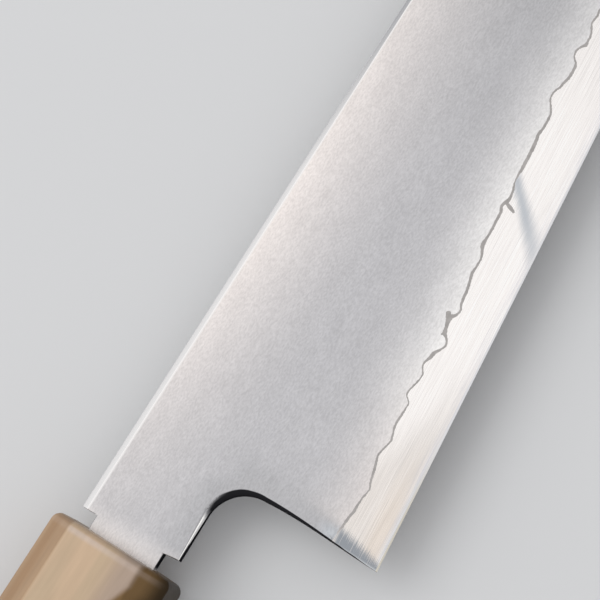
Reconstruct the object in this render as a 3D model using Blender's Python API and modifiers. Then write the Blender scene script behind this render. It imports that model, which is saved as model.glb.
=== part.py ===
# Gyuto kitchen knife with a laminated blade and an octagonal handle, modelled at rest
# The blade lies flat, its right face up (+Z), its tip toward +X and its edge toward -Y
# Local sizes are in millimetres from the ferrule's front face, on the handle's centre line

import math

import bmesh
import bpy
from mathutils import Vector

MM = 0.001
KNIFE_NAME = "gyuto_knife"

# Blade outline
EDGE_LENGTH = 240.0
HEEL_X = 19.15
HEEL_HEIGHT = 48.0
SPINE_Y = 9.3
HEEL_Y = SPINE_Y - HEEL_HEIGHT
EDGE_SLOPE = math.tan(math.radians(4.7))
TIP_X = HEEL_X + EDGE_LENGTH
TIP_Y = -0.6
TIP_HEIGHT = 0.8
SPINE_STRAIGHT_TO = 118.0
SPINE_DROP_POWER = 2.2
BELLY_POWER = 5.0

# Neck, machi notches and tang
NECK_Y = -9.67
CHOIL_RADIUS = 7.0
CHOIL_STEPS = 12
CHOIL_FORWARD = 0.2
HEEL_SWING = 2.07
HEEL_STEPS = 6
TOP_NOTCH_X = 2.6
LOW_NOTCH_INNER_X = 3.2
LOW_NOTCH_OUTER_X = 3.5
TANG_TOP = 6.25
TANG_LOW = -6.85
TANG_CENTRE = (TANG_TOP + TANG_LOW) / 2
TANG_LENGTH = 95.0
TANG_SHOULDER_RUN = 1.4
TANG_HEIGHT_INSIDE = 8.8
TANG_END_HEIGHT = 5.0
TANG_END_X = -TANG_LENGTH

# Blade thickness
SPINE_THICKNESS = 3.0
TIP_THICKNESS = 0.8
THINNING = 1.3
TANG_END_THICKNESS = 2.0
EDGE_THICKNESS = 0.12
GRIND_POWER = 0.65
SPINE_EASE = 0.7
SPINE_EASE_FADES_BELOW = 8.0
SPINE_EASE_DEPTH = 0.4
CUT_EASE = 0.45
CUT_EASE_DEPTH = 0.65

# Lamination: a hard core between two soft claddings, which stop at a wavy line above the edge
CORE_SHARE = 0.293
WELD_GAP = 0.05
CLAD_LIP = 0.05
CLAD_END_X = TIP_X - 4.0
LINE_SHARE_AT_TIP = 0.6
LINE_BEYOND = 9.1
LINE_BLEND_POWER = 6
# Swings beyond the turns below, each a half height, a length and a start
LINE_WAVES = ((0.45, 11.4, 0.0), (0.27, 4.9, 0.8))
# Distance from the heel and height above the edge of each turn of the line
LINE_TURNS = (
    (0.0, 8.9),
    (10.0, 7.3),
    (16.4, 8.5),
    (19.5, 7.7),
    (23.0, 8.3),
    (25.0, 7.9),
    (28.0, 8.9),
    (31.0, 8.0),
    (34.8, 8.5),
    (37.7, 7.7),
    (42.4, 8.6),
    (44.6, 7.5),
    (51.5, 8.4),
    (56.1, 9.1),
    (63.5, 9.2),
    (65.5, 8.3),
    (69.5, 9.0),
    (77.5, 9.1),
    (80.6, 8.5),
    (84.7, 10.0),
    (89.5, 8.6),
    (93.2, 9.6),
    (96.4, 8.6),
    (100.2, 9.5),
    (104.0, 9.1),
)

# Blade mesh spacing
TANG_STEP = 22.0
FINE_STEP = 2.0
COARSE_STEP = 5.0
FACE_FRACTIONS = (0.0, 0.12, 0.3, 0.52, 0.76)
BEVEL_HEIGHTS = (0.7, 2.6, 5.2)

# Handle, an octagon that grows a little taller toward the butt
HANDLE_LENGTH = 140.0
HANDLE_THICKNESS = 19.7
HANDLE_FRONT_HEIGHT = 23.5
HANDLE_BUTT_HEIGHT = 25.5
HANDLE_BEVEL = 4.8
END_CHAMFER = 1.2
FERRULE_LENGTH = 28.0

# Dowel, bores and fits inside the handle
FIT_GAP = 0.3
SLOT_DEPTH = 6.0
DOWEL_RADIUS = 6.5
DOWEL_IN_HANDLE = 22.0
DOWEL_END_X = -FERRULE_LENGTH - DOWEL_IN_HANDLE
BEDDING_WALL = 1.0
BEDDING_BEYOND_TANG = 3.0
BEDDING_END_X = TANG_END_X - BEDDING_BEYOND_TANG
ROUND_SIDES = 40
CUTTER_REACH = 1.0

# The rest frame stands at the bottom centre of the whole knife's box
CENTRE_X = (TIP_X - HANDLE_LENGTH) / 2
CENTRE_Y = (HANDLE_BUTT_HEIGHT / 2 + HEEL_Y) / 2

MATERIALS = {
    "core_steel": ((0.80, 0.79, 0.77), 0.22, 1.0),
    "cladding_right": ((0.60, 0.58, 0.57), 0.42, 1.0),
    "cladding_left": ((0.60, 0.58, 0.57), 0.42, 1.0),
    "horn_ferrule": ((0.42, 0.33, 0.22), 0.30, 0.0),
    "handle_body": ((0.66, 0.52, 0.34), 0.60, 0.0),
    "handle_dowel": ((0.50, 0.34, 0.19), 0.65, 0.0),
    "tang_bedding": ((0.55, 0.42, 0.20), 0.35, 0.0),
}


def clear_scene():
    for obj in list(bpy.data.objects):
        bpy.data.objects.remove(obj, do_unlink=True)


def new_collection(name):
    collection = bpy.data.collections.new(name)
    bpy.context.scene.collection.children.link(collection)
    return collection


def new_material(name):
    colour, roughness, metallic = MATERIALS[name]
    material = bpy.data.materials.new(name)
    material.use_nodes = True
    shader = material.node_tree.nodes["Principled BSDF"]
    shader.inputs["Base Color"].default_value = (*colour, 1.0)
    shader.inputs["Roughness"].default_value = roughness
    shader.inputs["Metallic"].default_value = metallic
    return material


def add_object(name, bm, collection):
    bmesh.ops.recalc_face_normals(bm, faces=bm.faces)
    mesh = bpy.data.meshes.new(name)
    bm.to_mesh(mesh)
    bm.free()
    obj = bpy.data.objects.new(name, mesh)
    obj.parent = knife
    collection.objects.link(obj)
    return obj


def add_part(name, bm):
    obj = add_object(name, bm, parts)
    obj.data.materials.append(new_material(name))
    obj.data.shade_smooth()
    obj.data.set_sharp_from_angle(angle=math.radians(25))
    return obj


def add_cutter(name, bm):
    obj = add_object(name, bm, cutters)
    obj.hide_render = True
    obj.display_type = "WIRE"
    return obj


def cut(obj, cutter):
    modifier = obj.modifiers.new(cutter.name, "BOOLEAN")
    modifier.operation = "DIFFERENCE"
    modifier.solver = "EXACT"
    modifier.object = cutter


def spine_y(x):
    along = max(0.0, (x - SPINE_STRAIGHT_TO) / (TIP_X - SPINE_STRAIGHT_TO))
    drop = SPINE_Y - (TIP_Y + TIP_HEIGHT / 2)
    return SPINE_Y - drop * along**SPINE_DROP_POWER


def edge_y(x):
    along = (x - HEEL_X) / EDGE_LENGTH
    straight = EDGE_SLOPE * (x - HEEL_X)
    belly = TIP_Y - TIP_HEIGHT / 2 - HEEL_Y - EDGE_SLOPE * EDGE_LENGTH
    return HEEL_Y + straight + belly * max(0.0, along) ** BELLY_POWER


def spine_thickness(x):
    if x < TOP_NOTCH_X:
        inside = (TOP_NOTCH_X - x) / (TOP_NOTCH_X - TANG_END_X)
        return SPINE_THICKNESS + (TANG_END_THICKNESS - SPINE_THICKNESS) * inside
    along = (x - TOP_NOTCH_X) / (TIP_X - TOP_NOTCH_X)
    late = SPINE_THICKNESS - TIP_THICKNESS - THINNING
    return SPINE_THICKNESS - THINNING * along - late * along**3


def half_thickness(x, y):
    # Thin at the edge and filling out convexly to the spine
    up = (y - edge_y(x)) / (spine_y(x) - edge_y(x))
    edge_half = EDGE_THICKNESS / 2
    return edge_half + (spine_thickness(x) / 2 - edge_half) * max(0.0, up) ** GRIND_POWER


def line_height(x):
    # Height of the cladding's wavy lower border above the edge
    run = max(x - HEEL_X, LINE_TURNS[0][0])
    height = LINE_BEYOND
    for swing, length, start in LINE_WAVES:
        height += swing * math.sin(2 * math.pi * (run - start) / length)
    for (start, low), (end, high) in zip(LINE_TURNS, LINE_TURNS[1:]):
        if start <= run <= end:
            blend = 0.5 - 0.5 * math.cos(math.pi * (run - start) / (end - start))
            height = low + (high - low) * blend
    limit = LINE_SHARE_AT_TIP * (spine_y(x) - edge_y(x))
    power = LINE_BLEND_POWER
    return (height**-power + limit**-power) ** (-1 / power)


def core_half(x, y):
    # The core's buried half thickness, kept just under the outer surface at the wavy line
    plane = CORE_SHARE * spine_thickness(x) / 2
    return min(plane, half_thickness(x, y) - CLAD_LIP - WELD_GAP)


def face_heights(x):
    # Levels between the wavy line and the start of the eased spine corner
    low = edge_y(x) + line_height(x)
    high = spine_y(x) - spine_ease(x)
    return [low + (high - low) * fraction for fraction in FACE_FRACTIONS] + [high]


def spine_ease(x):
    fade = (spine_y(x) - edge_y(x)) / SPINE_EASE_FADES_BELOW
    return SPINE_EASE * min(1.0, fade, spine_thickness(x) / SPINE_THICKNESS)


def spine_corner(x):
    depth = SPINE_EASE_DEPTH * spine_ease(x) / SPINE_EASE
    return half_thickness(x, spine_y(x)) - depth


def stations(low, high, step):
    count = max(1, round((high - low) / step))
    return [low + (high - low) * index / count for index in range(count)]


def blade_stations(end):
    fine_end = HEEL_X + LINE_TURNS[-1][0]
    points = stations(TANG_END_X, TOP_NOTCH_X, TANG_STEP)
    points += stations(TOP_NOTCH_X, fine_end, FINE_STEP)
    return points + stations(fine_end, end, COARSE_STEP) + [end]


def cladding_ring(x):
    levels = face_heights(x)
    ring = [Vector((x, y, half_thickness(x, y))) for y in levels]
    ring.append(Vector((x, spine_y(x), spine_corner(x))))
    inner = [spine_y(x)] + levels[::-1]
    return ring + [Vector((x, y, core_half(x, y) + WELD_GAP)) for y in inner]


def core_side(x, buried):
    base = edge_y(x)
    line = line_height(x)
    bevels = [0.0] + [height * line / LINE_BEYOND for height in BEVEL_HEIGHTS]
    side = [(base + up, half_thickness(x, base + up)) for up in bevels]
    step = base + line - WELD_GAP
    side.append((step - WELD_GAP / 4, half_thickness(x, step)))
    if buried:
        side += [(max(y, step), core_half(x, y)) for y in [step] + face_heights(x)[1:] + [spine_y(x)]]
    else:
        side += [(y, half_thickness(x, y)) for y in [step] + face_heights(x)[1:]]
        side.append((spine_y(x), spine_corner(x)))
    return side


def core_ring(x, buried):
    side = core_side(x, buried)
    ring = [Vector((x, y, z)) for y, z in side]
    return ring + [Vector((x, y, -z)) for y, z in reversed(side)]


def loft(rings):
    bm = bmesh.new()
    rows = [[bm.verts.new(point * MM) for point in ring] for ring in rings]
    count = len(rows[0])
    for row, following in zip(rows, rows[1:]):
        for index in range(count):
            after = (index + 1) % count
            bm.faces.new((row[index], row[after], following[after], following[index]))
    bm.faces.new(rows[0])
    bm.faces.new(rows[-1][::-1])
    return bm


def tang_height(x):
    # Behind the shoulder the tang tapers to its end
    shoulder = TANG_SHOULDER_RUN - SLOT_DEPTH
    inside = (x - shoulder) / (TANG_END_X - shoulder)
    return TANG_HEIGHT_INSIDE + (TANG_END_HEIGHT - TANG_HEIGHT_INSIDE) * inside


def tang_side(side, front_y):
    # From behind the tang's end along one side to the shoulder, which lies inside the ferrule's slot
    narrow_from = -SLOT_DEPTH
    wide_to = narrow_from + TANG_SHOULDER_RUN
    end = TANG_END_X - CUTTER_REACH
    return [
        (end, TANG_CENTRE + side * tang_height(end) / 2),
        (narrow_from, TANG_CENTRE + side * tang_height(narrow_from) / 2),
        (wide_to, front_y),
    ]


def heel_x(y):
    # From its corner up the heel swings toward the tip, then back a little into the choil
    up = (y - HEEL_Y) / (NECK_Y - CHOIL_RADIUS - HEEL_Y)
    return HEEL_X + CHOIL_FORWARD * up + HEEL_SWING * up**2 * (1 - up)


def lower_outline(grow):
    # Under the tang, the neck, round the choil and down the heel; grow moves it into the steel
    centre_y = NECK_Y - CHOIL_RADIUS
    centre_x = heel_x(centre_y) - CHOIL_RADIUS
    points = tang_side(-1, TANG_LOW)
    points += [(LOW_NOTCH_INNER_X, TANG_LOW), (LOW_NOTCH_OUTER_X, NECK_Y + grow)]
    for index in range(CHOIL_STEPS + 1):
        turn = math.pi / 2 * (1 - index / CHOIL_STEPS)
        reach = CHOIL_RADIUS + grow
        points.append((centre_x + reach * math.cos(turn), centre_y + reach * math.sin(turn)))
    for index in range(1, HEEL_STEPS + 1):
        y = centre_y + (HEEL_Y - centre_y) * index / HEEL_STEPS
        points.append((heel_x(y) + grow, y))
    below = edge_y(TANG_END_X) - CUTTER_REACH
    return points + [(HEEL_X + grow, below), (TANG_END_X - CUTTER_REACH, below)]


def upper_outline():
    above = SPINE_Y + CUTTER_REACH
    corner = (TANG_END_X - CUTTER_REACH, above)
    return tang_side(1, TANG_TOP) + [(TOP_NOTCH_X, TANG_TOP), (TOP_NOTCH_X, above), corner]


def outline_cutter(name, outlines):
    # outlines pairs a level along Z with the outline there
    rings = [[Vector((x, y, level)) for x, y in outline] for level, outline in outlines]
    return add_cutter(name, loft(rings))


def make_blade_cutters():
    # The cut flares toward both faces, which eases the corners of the neck, choil and heel
    face = SPINE_THICKNESS / 2
    eased_from = face - CUT_EASE_DEPTH
    flare = lower_outline(CUT_EASE * (CUT_EASE_DEPTH + CUTTER_REACH) / CUT_EASE_DEPTH)
    straight = lower_outline(0.0)
    top = face + CUTTER_REACH
    lower = outline_cutter(
        "cutter_heel_and_neck",
        [(-top, flare), (-eased_from, straight), (eased_from, straight), (top, flare)],
    )
    upper = outline_cutter("cutter_spine_notch", [(-top, upper_outline()), (top, upper_outline())])
    return lower, upper


def make_core():
    buried_to = blade_stations(CLAD_END_X)
    bare_from = CLAD_END_X + WELD_GAP
    rings = [core_ring(x, True) for x in buried_to]
    rings += [core_ring(x, False) for x in (bare_from, (bare_from + TIP_X) / 2, TIP_X)]
    return add_part("core_steel", loft(rings))


def make_cladding(name, side):
    rings = [cladding_ring(x) for x in blade_stations(CLAD_END_X)]
    mirrored = [[Vector((point.x, point.y, side * point.z)) for point in ring] for ring in rings]
    return add_part(name, loft(mirrored))


def handle_height(x):
    return HANDLE_FRONT_HEIGHT + (HANDLE_BUTT_HEIGHT - HANDLE_FRONT_HEIGHT) * -x / HANDLE_LENGTH


def octagon_bar(front, back):
    # A box with tapered sides, its four long edges bevelled to an octagon
    bm = bmesh.new()
    bmesh.ops.create_cube(bm, size=1.0)
    for vert in bm.verts:
        x = front if vert.co.x > 0 else back
        vert.co = Vector((x, vert.co.y * handle_height(x), vert.co.z * HANDLE_THICKNESS)) * MM
    long_edges = [edge for edge in bm.edges if abs(edge.verts[0].co.x - edge.verts[1].co.x) > MM]
    bmesh.ops.bevel(bm, geom=long_edges, offset=HANDLE_BEVEL * MM, segments=1, profile=0.5, affect="EDGES")
    return bm


def chamfer_end(bm, x):
    rim = [edge for edge in bm.edges if all(abs(vert.co.x - x * MM) < MM / 100 for vert in edge.verts)]
    bmesh.ops.bevel(bm, geom=rim, offset=END_CHAMFER * MM, segments=1, profile=0.5, affect="EDGES")


def round_bar(front, back, radius):
    bm = bmesh.new()
    bmesh.ops.create_cone(
        bm,
        cap_ends=True,
        segments=ROUND_SIDES,
        radius1=radius * MM,
        radius2=radius * MM,
        depth=(front - back) * MM,
    )
    for vert in bm.verts:
        vert.co = Vector((vert.co.z + (front + back) / 2 * MM, vert.co.x, vert.co.y))
    return bm


def turned_cutter(name, profile):
    # A profile of x and radius, from axis to axis, turned about the handle's centre line
    bm = bmesh.new()
    verts = [bm.verts.new(Vector((x, radius, 0.0)) * MM) for x, radius in profile]
    for start, end in zip(verts, verts[1:]):
        bm.edges.new((start, end))
    cutter = add_cutter(name, bm)
    screw = cutter.modifiers.new("turn", "SCREW")
    screw.axis = "X"
    screw.steps = ROUND_SIDES
    screw.render_steps = ROUND_SIDES
    screw.use_merge_vertices = True
    screw.merge_threshold = MM / 100
    return cutter


def slot_bar(front, back, tang_height_there):
    # A slot that clears the tang all round
    height = tang_height_there + 2 * FIT_GAP
    thickness = SPINE_THICKNESS + 2 * FIT_GAP
    bm = bmesh.new()
    bmesh.ops.create_cube(bm, size=1.0)
    for vert in bm.verts:
        x = front if vert.co.x > 0 else back
        vert.co = Vector((x, vert.co.y * height + TANG_CENTRE, vert.co.z * thickness)) * MM
    return bm


def bedding_radius():
    # The plug keeps its wall round the corners of the tang's slot
    half_height = tang_height(DOWEL_END_X) / 2 + FIT_GAP
    half_thickness_there = SPINE_THICKNESS / 2 + FIT_GAP
    return math.hypot(half_height, half_thickness_there) + abs(TANG_CENTRE) + BEDDING_WALL


def make_ferrule():
    bar = octagon_bar(0.0, -FERRULE_LENGTH)
    chamfer_end(bar, 0.0)
    ferrule = add_part("horn_ferrule", bar)
    slot = slot_bar(CUTTER_REACH, -SLOT_DEPTH - CUTTER_REACH, TANG_TOP - TANG_LOW)
    bore = round_bar(-SLOT_DEPTH, -FERRULE_LENGTH - CUTTER_REACH, DOWEL_RADIUS + FIT_GAP)
    cut(ferrule, add_cutter("cutter_ferrule_slot", slot))
    cut(ferrule, add_cutter("cutter_ferrule_bore", bore))


def make_handle_body():
    front = -FERRULE_LENGTH - FIT_GAP
    bar = octagon_bar(front, -HANDLE_LENGTH)
    chamfer_end(bar, -HANDLE_LENGTH)
    body = add_part("handle_body", bar)
    mouth = front + CUTTER_REACH
    floor = DOWEL_END_X - FIT_GAP
    end = BEDDING_END_X - FIT_GAP
    socket_radius = DOWEL_RADIUS + FIT_GAP
    pilot_radius = bedding_radius() + FIT_GAP
    socket = [(mouth, 0.0), (mouth, socket_radius), (floor, socket_radius)]
    pilot = [(floor, pilot_radius), (end, pilot_radius), (end, 0.0)]
    cut(body, turned_cutter("cutter_handle_bore", socket + pilot))


def make_dowel():
    front = -SLOT_DEPTH - FIT_GAP
    dowel = add_part("handle_dowel", round_bar(front, DOWEL_END_X, DOWEL_RADIUS))
    slot = slot_bar(front + CUTTER_REACH, DOWEL_END_X - CUTTER_REACH, tang_height(front))
    cut(dowel, add_cutter("cutter_dowel_slot", slot))


def make_bedding():
    front = DOWEL_END_X - FIT_GAP
    bedding = add_part("tang_bedding", round_bar(front, BEDDING_END_X, bedding_radius()))
    slot = slot_bar(front + CUTTER_REACH, TANG_END_X - FIT_GAP, tang_height(front))
    cut(bedding, add_cutter("cutter_bedding_slot", slot))


clear_scene()
parts = new_collection(KNIFE_NAME)
cutters = new_collection("cutters")
knife = bpy.data.objects.new(KNIFE_NAME, None)
knife.location = Vector((-CENTRE_X, -CENTRE_Y, HANDLE_THICKNESS / 2)) * MM
parts.objects.link(knife)

heel_cutter, notch_cutter = make_blade_cutters()
layers = [make_core(), make_cladding("cladding_right", 1), make_cladding("cladding_left", -1)]
for layer in layers:
    cut(layer, heel_cutter)
    cut(layer, notch_cutter)
make_ferrule()
make_handle_body()
make_dowel()
make_bedding()
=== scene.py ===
import math
import random

import bmesh
import bpy
from mathutils import Matrix, Vector


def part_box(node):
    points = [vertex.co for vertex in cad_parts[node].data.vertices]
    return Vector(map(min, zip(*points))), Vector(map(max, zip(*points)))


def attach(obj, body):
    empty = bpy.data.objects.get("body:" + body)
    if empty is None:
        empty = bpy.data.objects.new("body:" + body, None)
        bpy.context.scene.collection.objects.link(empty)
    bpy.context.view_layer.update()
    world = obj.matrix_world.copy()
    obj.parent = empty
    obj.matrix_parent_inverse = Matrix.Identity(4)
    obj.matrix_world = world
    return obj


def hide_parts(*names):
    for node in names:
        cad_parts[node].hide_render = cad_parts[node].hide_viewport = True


# Gyuto kitchen knife: laminated blade, horn ferrule and octagonal wooden handle, dressed over the frame
# Sizes are mm from the ferrule's front face, on the handle's centre line: x to the tip, y to the spine
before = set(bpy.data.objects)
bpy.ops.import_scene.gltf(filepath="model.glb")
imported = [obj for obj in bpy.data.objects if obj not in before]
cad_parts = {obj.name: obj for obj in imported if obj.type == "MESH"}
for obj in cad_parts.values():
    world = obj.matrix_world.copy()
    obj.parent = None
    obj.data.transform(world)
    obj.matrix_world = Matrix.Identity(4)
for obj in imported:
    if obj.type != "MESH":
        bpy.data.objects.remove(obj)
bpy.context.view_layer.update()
mm = 0.001
tiny = 1e-6
mapSpan = 100.0  # mm in one unit of the blade's map
markSpan = 10.0  # mm in one unit of the marks that hold a distance
coreLow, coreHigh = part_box("core_steel")
ferruleLow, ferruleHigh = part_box("horn_ferrule")
woodLow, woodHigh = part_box("handle_body")
start = Vector((ferruleHigh.x, (woodLow.y + woodHigh.y) / 2, (woodLow.z + woodHigh.z) / 2))
print("frame loaded")


def place(x, y, z):
    return start + Vector((x, y, z)) * mm


# The camera stands where the photograph's stood
camera = {
    "aim": Vector((51.45, -3.505, 1.5)),
    "lean": (-0.1376, -0.2438),  # of the line from the aim to the lens, toward x and y
    "distance": 319.1,
    "roll": -1.042,
    "focalPixels": 1877.0,
    "photoSize": 600,
    "sensor": 36.0,
    "clip": (0.01, 60.0),
}
back = Vector((*camera["lean"], math.sqrt(1 - camera["lean"][0] ** 2 - camera["lean"][1] ** 2)))
eye = camera["aim"] + back * camera["distance"]
level = Vector((0, 1, 0)).cross(back).normalized()
upright = back.cross(level)
right = level * math.cos(camera["roll"]) + upright * math.sin(camera["roll"])
up = upright * math.cos(camera["roll"]) - level * math.sin(camera["roll"])

lens = bpy.data.cameras.new("photoLens")
lens.sensor_width = camera["sensor"]
lens.lens = camera["focalPixels"] * camera["sensor"] / camera["photoSize"]
lens.clip_start, lens.clip_end = camera["clip"]
cameraObject = bpy.data.objects.new("photoCamera", lens)
turn = Matrix((right, up, back)).transposed().to_4x4()
cameraObject.matrix_world = Matrix.Translation(place(*eye)) @ turn
bpy.context.scene.collection.objects.link(cameraObject)
bpy.context.scene.camera = cameraObject


def fromPhoto(pixelX, pixelY, height):
    # The point at this height over the blade's middle plane that shows at a pixel of the photograph
    half, focal = camera["photoSize"] / 2, camera["focalPixels"]
    ray = right * (pixelX - half) / focal + up * (half - pixelY) / focal - back
    hit = eye + ray * (height - eye.z) / ray.z
    return hit.x, hit.y


# Blade outline, section and lamination, as in the frame
blade = {
    "tipX": (coreHigh.x - start.x) / mm,
    "spineY": (coreHigh.y - start.y) / mm,
    "heelY": (coreLow.y - start.y) / mm,
    "tangEnd": (coreLow.x - start.x) / mm,
    "heelX": 19.15,
    "choilForward": 0.2,
    "heelSwing": 2.07,
    "swingReach": 12.0,
    "edgeSlope": math.tan(math.radians(4.7)),
    "tipY": -0.6,
    "tipHeight": 0.8,
    "straightTo": 118.0,
    "dropPower": 2.2,
    "bellyPower": 5.0,
    "neckY": -9.72,
    "choilRadius": 7.0,
    "topNotch": 2.6,
    "lowNotch": (3.2, 3.5),
    "tangTop": 6.25,
    "tangLow": -6.85,
    "shoulder": (-6.0, -4.6),
    "tangHeights": (8.8, 5.0),
    "spineThick": 3.0,
    "tipThick": 0.8,
    "tangEndThick": 2.0,
    "thinning": 1.3,
    "grindPower": 0.65,
    "bluntHalf": 0.06,
    "sharpHalf": 0.012,
    "microBevel": 0.3,
    "bevelShare": 0.1,
    "leastCore": 0.2,
    "coreShare": 0.293,
    "weldGap": 0.05,
    "spineEase": (0.95, 0.38),
    "easeCurve": 1.25,
    "easeFadesBelow": 8.0,
    "neckRound": (0.12, 0.6),
    "neckRoundGrows": 0.045,
    "roundShare": 0.62,
    "heelWide": (1.25, 0.07),
    "heelWideFrom": 0.1,
    "heelWideOver": 2.0,
    "choilWide": 0.13,
    "choilWideTurns": ((20.0, 35.0), (72.0, 57.0)),
    "notchRound": 0.14,
}
heelX, tipX, neckY = blade["heelX"], blade["tipX"], blade["neckY"]
edgeLength = tipX - heelX
choilX, choilY = heelX - blade["choilRadius"], neckY - blade["choilRadius"]


def unit(value):
    return min(max(value, 0.0), 1.0)


def rise(value, low, high):
    return unit((value - low) / (high - low))


def spineAt(x):
    along = max(0.0, (x - blade["straightTo"]) / (tipX - blade["straightTo"]))
    fall = blade["spineY"] - blade["tipY"] - blade["tipHeight"] / 2
    return blade["spineY"] - fall * along ** blade["dropPower"]


def edgeAt(x):
    along = x - heelX
    belly = blade["tipY"] - blade["tipHeight"] / 2 - blade["heelY"] - blade["edgeSlope"] * edgeLength
    risen = belly * max(0.0, along / edgeLength) ** blade["bellyPower"]
    return blade["heelY"] + blade["edgeSlope"] * along + risen


def bevelAt(x):
    return min(blade["microBevel"], blade["bevelShare"] * (spineAt(x) - edgeAt(x)))


def swingAt(x, y):
    # From its corner up the heel swings toward the tip, then back into the choil, with what is beside it
    near = max(0.0, 1 - abs(x - heelX) / blade["swingReach"])
    up = unit((y - blade["heelY"]) / (choilY - blade["heelY"]))
    return (blade["choilForward"] * up + blade["heelSwing"] * up**2 * (1 - up)) * near


def thickAt(x):
    # Along the spine: thickest at the notch, thinner to the tip and to the tang's end
    if x < blade["topNotch"]:
        inside = (blade["topNotch"] - x) / (blade["topNotch"] - blade["tangEnd"])
        return blade["spineThick"] + (blade["tangEndThick"] - blade["spineThick"]) * inside
    along = (x - blade["topNotch"]) / (tipX - blade["topNotch"])
    late = blade["spineThick"] - blade["tipThick"] - blade["thinning"]
    return blade["spineThick"] - blade["thinning"] * along - late * along**3


def halfAt(x, y):
    # Half the thickness before any corner is eased, with the last bevel that makes the edge
    over = y - edgeAt(x)
    tall = spineAt(x) - edgeAt(x)
    bevel = bevelAt(x)

    def ground(height):
        wider = thickAt(x) / 2 - blade["bluntHalf"]
        return blade["bluntHalf"] + wider * max(0.0, height / tall) ** blade["grindPower"]

    if over < bevel:
        return blade["sharpHalf"] + (ground(bevel) - blade["sharpHalf"]) * max(0.0, over) / bevel
    return ground(over)


def coreHalf(x, y):
    half = halfAt(x, y)
    covered = max(half - 2 * blade["weldGap"], blade["leastCore"] * half)
    return min(blade["coreShare"] * thickAt(x) / 2, covered)


def choilDepth(x, y):
    # Distance into the steel from the neck's underside, the choil's arc or the heel
    if x < choilX:
        return y - neckY
    if y < choilY:
        return x - heelX
    return math.hypot(x - choilX, y - choilY) - blade["choilRadius"]


def roundOff(depth, radius, fall):
    # How far a rounded corner drops this deep inside it
    if depth >= radius or radius <= 0:
        return 0.0
    return fall * (1 - math.sqrt(max(0.0, 1 - (1 - max(depth, 0.0) / radius) ** 2)))


def easeAt(x):
    fade = (spineAt(x) - edgeAt(x)) / blade["easeFadesBelow"]
    return min(1.0, fade, thickAt(x) / blade["spineThick"])


def neckRoundAt(x, y):
    # Grows from the notch to the choil, and is finer toward the edge, where the steel is thin
    least, most = blade["neckRound"]
    grown = least + blade["neckRoundGrows"] * (x - blade["lowNotch"][1])
    return min(max(grown, least), most, blade["roundShare"] * halfAt(x, y) ** 2)


def turnAt(x, y):
    # Degrees round the choil, from the heel's side to the neck's
    return math.degrees(math.atan2(max(0.0, y - choilY), max(0.0, x - choilX) + tiny))


def roundWideAt(x, y):
    # How far in the rounding reaches: as far as it drops on the neck, farther round the choil and the heel
    radius = neckRoundAt(x, y)
    past = unit((x - choilX) / blade["heelWideOver"])
    choil = blade["choilWide"] * min(rise(turnAt(x, y), *turns) for turns in blade["choilWideTurns"])
    stretch, extra = blade["heelWide"]
    wider = extra * min(1.0, radius / blade["heelWideFrom"]) + choil
    return radius * (1 + (stretch - 1) * past) + wider * past


def notchDepth(x, y):
    # Distance into the steel from the two notches and the tang's edges
    lowX, outX = blade["lowNotch"]
    wall = lowX + (outX - lowX) * (y - blade["tangLow"]) / (neckY - blade["tangLow"])
    return min(max(y - blade["tangLow"], x - wall), max(blade["tangTop"] - y, x - blade["topNotch"]))


def faceAt(x, y):
    # Height of the finished face over the blade's middle plane
    drop = roundOff(notchDepth(x, y), blade["notchRound"], blade["notchRound"])
    if x > blade["lowNotch"][0]:
        drop = max(drop, roundOff(choilDepth(x, y), roundWideAt(x, y), neckRoundAt(x, y)))
    wide, deep = (size * easeAt(x) for size in blade["spineEase"])
    under = max(0.0, spineAt(x) - y)
    if under < wide:
        drop = max(drop, deep * (1 - under / wide) ** blade["easeCurve"])
    return halfAt(x, y) - drop


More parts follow.
